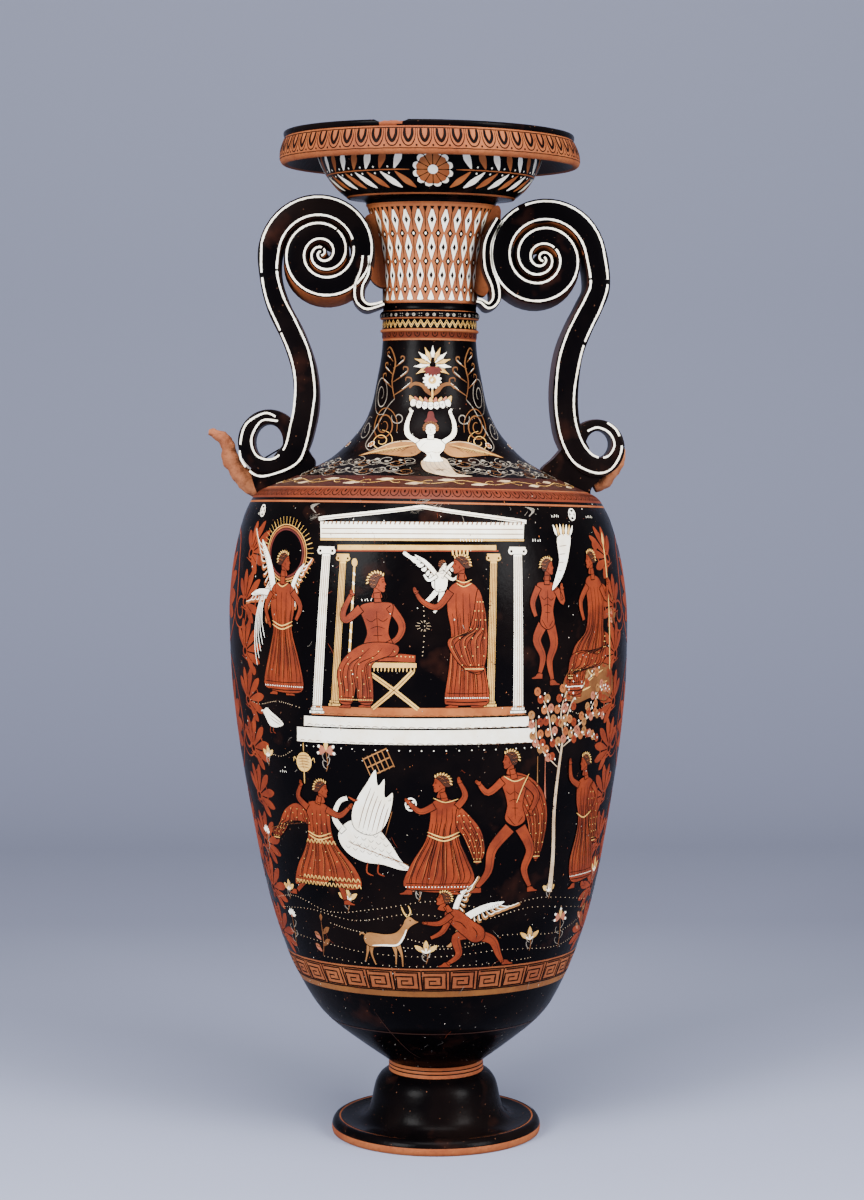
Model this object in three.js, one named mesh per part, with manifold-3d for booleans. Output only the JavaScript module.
// Loutrophoros: a tall south Italian water vase of fired clay with two openwork volute handles.
// Millimetres, +Z up. The origin is the centre of the foot on the ground, and the painted front
// faces -Y. The pot is one fired piece: foot, body, neck, mouth and handles are fused.
import * as THREE from 'three';
import { mergeVertices } from 'three/addons/utils/BufferGeometryUtils.js';
import Module from 'manifold-3d';

// Driving dimensions
const HEIGHT = 900;          // ground to rim
const FOOT_R = 95;           // widest of the foot's disc
const STEM_R = 42.8;         // reserved band between foot and body
const BODY_R = 178.8;        // widest of the body
const COLLAR_R = 41.8;       // narrowest of the neck, at its collar
const COLLAR_Z = 718;        // foot of the collar's rings
const NECK_Z = 750;          // top of them, where the neck flares
const LIP_R = 133.9;         // widest of the overhanging lip
const WALL = 6.5;            // thickness of the thrown walls
const STRAP_TOP = 78;        // front to back of a handle at its volute
const STRAP_LOW = 50;        // front to back of a handle at its foot
const VOLUTE_R = 57;         // volute's first turn, outside
const VOLUTE_PITCH = 23.2;   // how much the volute closes in one turn
const SCROLL_GAP_R = 12.8;   // finger hole of the lower scroll
const WEB_DEPTH = 0.9;       // clay between limb, scroll and shoulder, as a share of the strap's
const STRUT_DEPTH = 0.4;     // clay between volute and neck, as a share of the strap's depth

const TURNS = 40;            // facets round the pot
const SLICES = 14;           // facets down the body's curve

const wasm = await Module();
wasm.setup();

// The pot warped a little as it dried and was fired. Stations up the height give how far the
// axis leans to +X, and how much a ring climbs for each millimetre towards +X and towards +Y.
const SETTLE = [
  [0, 0, 0, 0], [60, 0, 0, 0], [160, -3.6, 0.004, -0.031], [420, -6.5, -0.008, -0.033],
  [580, -8, -0.019, -0.036], [645, -6, -0.012, -0.01], [720, -6, -0.01, 0],
  [850, -4.5, -0.008, 0.02], [HEIGHT, -6.5, -0.014, 0.01],
];

function settleAt(z) {
  const last = SETTLE.length - 1;
  if (z <= SETTLE[0][0]) return SETTLE[0].slice(1);
  for (let i = 0; i < last; i += 1) {
    const [low, high] = [SETTLE[i], SETTLE[i + 1]];
    if (z <= high[0]) {
      const t = (z - low[0]) / (high[0] - low[0]);
      return [1, 2, 3].map((k) => low[k] + t * (high[k] - low[k]));
    }
  }
  return SETTLE[last].slice(1);
}

function settle(geometry) {
  const place = geometry.attributes.position;
  for (let i = 0; i < place.count; i += 1) {
    const [x, y, z] = [place.getX(i), place.getY(i), place.getZ(i)];
    const [lean, climbX, climbY] = settleAt(z);
    place.setXYZ(i, x + lean, y, z + climbX * x + climbY * y);
  }
  return geometry;
}

function solidOf(geometry) {
  const bare = geometry.clone();
  bare.deleteAttribute('normal');
  bare.deleteAttribute('uv');
  const merged = mergeVertices(bare, 1e-3);
  return new wasm.Manifold(new wasm.Mesh({
    numProp: 3,
    vertProperties: new Float32Array(merged.attributes.position.array),
    triVerts: new Uint32Array(merged.index.array),
  }));
}

function geometryOf(solid) {
  const mesh = solid.getMesh();
  const geometry = new THREE.BufferGeometry();
  geometry.setAttribute('position', new THREE.BufferAttribute(mesh.vertProperties, 3));
  geometry.setIndex(new THREE.BufferAttribute(mesh.triVerts, 1));
  geometry.computeVertexNormals();
  return geometry;
}

const point = (x, y) => new THREE.Vector2(x, y);
const curve = (knots, steps) => new THREE.SplineCurve(knots.map((k) => point(...k))).getPoints(steps);

// Outline of the pot, from the ground up: radius and height.
const footDisc = [
  [FOOT_R - 1, 0], [FOOT_R, 6], [FOOT_R - 3, 12.5], [FOOT_R - 8, 13.2], [75, 12], [66, 14],
  [60.6, 22], [56.4, 39], [54.2, 46], [49.5, 52.5], [STEM_R, 57], [STEM_R, 66],
].map((k) => point(...k));
const bodyKnots = [
  [STEM_R, 66], [72, 87.6], [94.4, 106], [109.2, 124], [127.3, 159.3], [139.9, 195.4],
  [149.6, 231.8], [156.8, 268], [163.3, 305], [169.2, 341], [173.9, 377], [177.3, 413],
  [BODY_R, 450], [178.2, 486], [173.9, 521], [165.2, 556], [156.4, 574.5],
];
const shoulderKnots = [
  [156.4, 574.5], [151.5, 579.6], [142.4, 584], [120, 593.6], [91.1, 608.3], [74, 623],
  [60.7, 639], [52.1, 657.7], [46.9, 682], [43.2, 702], [COLLAR_R, COLLAR_Z],
];
const collar = [
  [0, 0], [0.8, 5.4], [2.2, 7], [0.4, 8.6], [0.4, 16.8], [2.5, 18.6], [2.5, 22.4], [0, 24.2],
].map(([out, up]) => point(COLLAR_R + out, COLLAR_Z + up));
const neckKnots = [[COLLAR_R, NECK_Z], [43, 773], [46.6, 800], [51, 820], [57, 835.5]];
const bowlKnots = [[75.4, 843.6], [83.6, 850.4], [91.8, 860.8], [98, 872.4], [102.6, 887]];
const lip = [
  [104.5, 890], [118, 884], [126.5, 873], [130.4, 871.4], [LIP_R, 877.5], [132.6, 884.5],
  [128.2, 894.5], [129.4, 897], [127, HEIGHT],
].map((k) => point(...k));
const outside = [
  ...footDisc.slice(0, -1), ...curve(bodyKnots, SLICES).slice(0, -1),
  ...curve(shoulderKnots, 8).slice(0, -1), ...collar, ...curve(neckKnots, 4),
  point(58.2, 838.4), point(65.5, 841.6), ...curve(bowlKnots, 4), ...lip,
];

// Inside of the mouth, neck and body, from the rim down to the floor, and the hollow foot.
const mouthKnots = [[118, 897.5], [104, 892], [90, 874], [73, 857], [52, 843]];
function inward(knots) {
  return knots.map(([r, z], i) => {
    const a = knots[Math.max(i - 1, 0)];
    const b = knots[Math.min(i + 1, knots.length - 1)];
    const [dr, dz] = [b[0] - a[0], b[1] - a[1]];
    const length = Math.hypot(dr, dz);
    return [r - (WALL * dz) / length, z + (WALL * dr) / length];
  });
}
const innerNeck = curve(inward(neckKnots), 3).reverse();
const innerShoulder = curve(inward(shoulderKnots.slice(2)), 6).reverse();
const innerBody = curve(inward(bodyKnots), 9).reverse();
const FLOOR = 79;
const inside = [
  ...curve(mouthKnots, 3), ...innerNeck, ...innerShoulder,
  ...innerBody.filter((p) => p.y > FLOOR + 6), point(36, FLOOR + 1.5), point(0, FLOOR),
];
const hollowFoot = [
  point(0, 68), point(30, 62), point(47, 44), point(50.5, 30), point(55, 16), point(66, 7),
  point(84, 0),
];
const profile = [...hollowFoot, ...outside, ...inside];

function lathe(points) {
  const geometry = new THREE.LatheGeometry(points, TURNS);
  geometry.rotateX(Math.PI / 2);
  return geometry;
}

// Handles. Each is a flat strap standing on edge: a limb that rises from the shoulder, curls
// into an open spiral beside the neck, and ends below in a small scroll. Side is -1 for the
// left handle and +1 for the right, and every place is [x, z] on the pot's middle plane.
const LEFT = {
  side: -1,
  eye: [-95.6, 792.3],
  volute: [VOLUTE_R, VOLUTE_PITCH],
  limb: [
    [-142, 772, 18], [-134.6, 745, 19.6], [-121, 718, 20.8], [-111.8, 690, 21.6], [-109.6, 664, 22.4],
    [-112.4, 641, 22], [-118.6, 620, 22], [-130.5, 605, 19.5],
  ],
  scroll: [-142.8, 624.5, 27.2, 28.8],
  hole: [-142.8, 624.5, SCROLL_GAP_R, 16],
  web: [
    [-99, 606], [-104, 612], [-118, 625], [-152, 606], [-158, 598], [-153, 580], [-148, 578], [-120, 590.3], [-93, 604],
  ],
  tail: [[-57.5, 790, 9], [-58.6, 776, 12], [-63.4, 764, 11], [-63.2, 752, 10], [-57, 745.6, 8], [-49, 746.2, 5], [-41, 749, 4]],
  strut: [[-62, 812], [-58, 826], [-49, 826], [-41.5, 800], [-38, 766], [-50, 767], [-57, 782]],
};
const RIGHT = {
  side: 1,
  eye: [97.1, 789.7],
  volute: [VOLUTE_R + 1, VOLUTE_PITCH + 0.6],
  limb: [
    [148.4, 766, 19.6], [141.6, 747, 20.6], [132.5, 728, 21.4], [124.4, 706, 22], [120.6, 680, 22.6],
    [120.6, 656, 22.4], [124.4, 635, 22.4], [133.5, 617, 21.5],
  ],
  scroll: [149.6, 622.6, 24.2, 25.2],
  hole: [151.4, 626.4, SCROLL_GAP_R - 0.8, SCROLL_GAP_R - 0.6],
  web: [
    [102, 604], [110.5, 612], [128, 626], [155, 604], [156, 598], [146, 587], [143, 580.6], [120, 590.3], [97, 602],
  ],
  tail: [[60, 823, 9], [50.4, 803, 10], [50.6, 782, 11], [56.6, 765, 9.6], [57.4, 753, 9], [51.6, 747, 7], [45, 751, 4.5], [40, 752, 4]],
  strut: [[62, 832], [52, 832], [41.5, 800], [38, 768], [40, 760], [50, 758], [56, 782]],
};
const VOLUTE_START = 0.02;   // turns, where the limb's clay joins the spiral
const VOLUTE_TURNS = 2.45;   // turns, at the eye
const BAND_WIDE = 20.4;      // width of the spiral's band on its first turn
const BAND_END = 5.5;        // width of it at the eye
const CHORD = 20;            // facets in a turn of the spiral

// Two sides of a strand of changing width, as one closed outline.
function strand(path) {
  const left = [];
  const right = [];
  path.forEach(([x, z, wide], i) => {
    const a = path[Math.max(i - 1, 0)];
    const b = path[Math.min(i + 1, path.length - 1)];
    const length = Math.hypot(b[0] - a[0], b[1] - a[1]);
    const [nx, nz] = [-(b[1] - a[1]) / length, (b[0] - a[0]) / length];
    left.push(point(x + (nx * wide) / 2, z + (nz * wide) / 2));
    right.push(point(x - (nx * wide) / 2, z - (nz * wide) / 2));
  });
  return [...left, ...right.reverse()];
}

function smooth(knots, steps) {
  const line = new THREE.CatmullRomCurve3(
    knots.map(([x, z, wide]) => new THREE.Vector3(x, z, wide)), false, 'centripetal',
  );
  return line.getPoints(steps).map((p) => [p.x, p.y, p.z]);
}

// The spiral band, from where the limb meets it round to its end at the eye.
function volutePath({ side, eye, volute: [radius, pitch] }, start) {
  const path = [];
  const steps = Math.round(VOLUTE_TURNS * CHORD);
  for (let i = 0; i <= steps; i += 1) {
    const turn = start + ((VOLUTE_TURNS - start) * i) / steps;
    const taper = THREE.MathUtils.smoothstep(turn, 0.85, VOLUTE_TURNS);
    const wide = BAND_WIDE + (BAND_END - BAND_WIDE) * taper;
    const r = radius - pitch * turn - wide / 2;
    const angle = turn * 2 * Math.PI;
    path.push([eye[0] + side * r * Math.cos(angle), eye[1] + r * Math.sin(angle), wide]);
  }
  return path;
}

function ring([x, z, rx, rz], steps) {
  return Array.from({ length: steps }, (_, i) => {
    const angle = (2 * Math.PI * i) / steps;
    return point(x + rx * Math.cos(angle), z + rz * Math.sin(angle));
  });
}

// A flat plate standing in the middle plane, deeper at the top of the handle than below.
function strapDepth(z) {
  const t = THREE.MathUtils.smoothstep(z, 600, 760);
  return STRAP_LOW + (STRAP_TOP - STRAP_LOW) * t;
}
function plate(outline, share = 1) {
  const shape = new THREE.Shape(outline);
  const geometry = new THREE.ExtrudeGeometry(shape, { depth: 1, bevelEnabled: false, steps: 1 });
  const place = geometry.attributes.position;
  for (let i = 0; i < place.count; i += 1) {
    const z = place.getY(i);
    const y = (0.5 - place.getZ(i)) * strapDepth(z) * share;
    place.setXYZ(i, place.getX(i), y, z);
  }
  return solidOf(settle(geometry));
}

function handle(form) {
  const band = volutePath(form, VOLUTE_START);
  const limb = smooth([...band.slice(0, 3).reverse(), ...form.limb], 20);
  const fingerHole = plate(ring(form.hole, 18), 1.1);
  const scroll = plate(ring(form.scroll, 24));
  const web = plate(form.web.map((k) => point(...k)), WEB_DEPTH);
  const strut = plate(form.strut.map((k) => point(...k)), STRUT_DEPTH);
  return plate(strand(band))
    .add(plate(strand(limb)))
    .add(scroll.add(web).subtract(fingerHole))
    .add(plate(strand(smooth(form.tail, 14))))
    .add(strut);
}

// Broken clay: the stump of a moulded ornament that curved out from the left scroll, and the
// rough root of its lost match on the right.
function lump(knots, squash) {
  const line = new THREE.CatmullRomCurve3(knots.map(([x, z]) => new THREE.Vector3(x, 0, z)));
  const section = new THREE.Shape();
  section.absellipse(0, 0, 1, squash, 0, 2 * Math.PI, false);
  const steps = 9;
  const geometry = new THREE.ExtrudeGeometry(section, { steps, extrudePath: line, curveSegments: 4 });
  const place = geometry.attributes.position;
  const centres = line.getSpacedPoints(steps);
  const spot = new THREE.Vector3();
  for (let i = 0; i < place.count; i += 1) {
    spot.fromBufferAttribute(place, i);
    let near = 0;
    centres.forEach((c, k) => {
      if (spot.distanceTo(c) < spot.distanceTo(centres[near])) near = k;
    });
    const t = (near / steps) * (knots.length - 1);
    const k = Math.min(Math.floor(t), knots.length - 2);
    const wide = knots[k][2] + (knots[k + 1][2] - knots[k][2]) * (t - k);
    spot.sub(centres[near]).multiplyScalar(wide).add(centres[near]);
    place.setXYZ(i, spot.x, spot.y, spot.z);
  }
  return solidOf(settle(geometry));
}
const leftStump = lump([
  [-147, 579, 7.5], [-163, 589, 8.2], [-175, 604, 7.6], [-179.5, 618, 6.8], [-186, 628, 5.6], [-197, 632, 3.4],
], 1.3);
const CHIP = { size: [22, 30, 8], place: [-40, -126, HEIGHT + 1.5] };
const rightStub = lump([[150, 588, 5], [163, 598, 5.5], [172.5, 612, 4.5], [175, 623, 3]], 2.2);

// The pot: walls, then what was stuck to them, then the chip out of the rim.
const walls = solidOf(settle(lathe(profile)));
const attached = handle(LEFT).add(handle(RIGHT)).add(leftStump).add(rightStub);
const chip = solidOf(new THREE.BoxGeometry(...CHIP.size).translate(...CHIP.place));
const pot = walls.add(attached).subtract(chip);

const clay = new THREE.MeshStandardMaterial({ color: 0x1c1512, roughness: 0.35, metalness: 0 });
const vase = new THREE.Mesh(geometryOf(pot), clay);
vase.name = 'loutrophoros';

const group = new THREE.Group();
group.add(vase);

export default group;
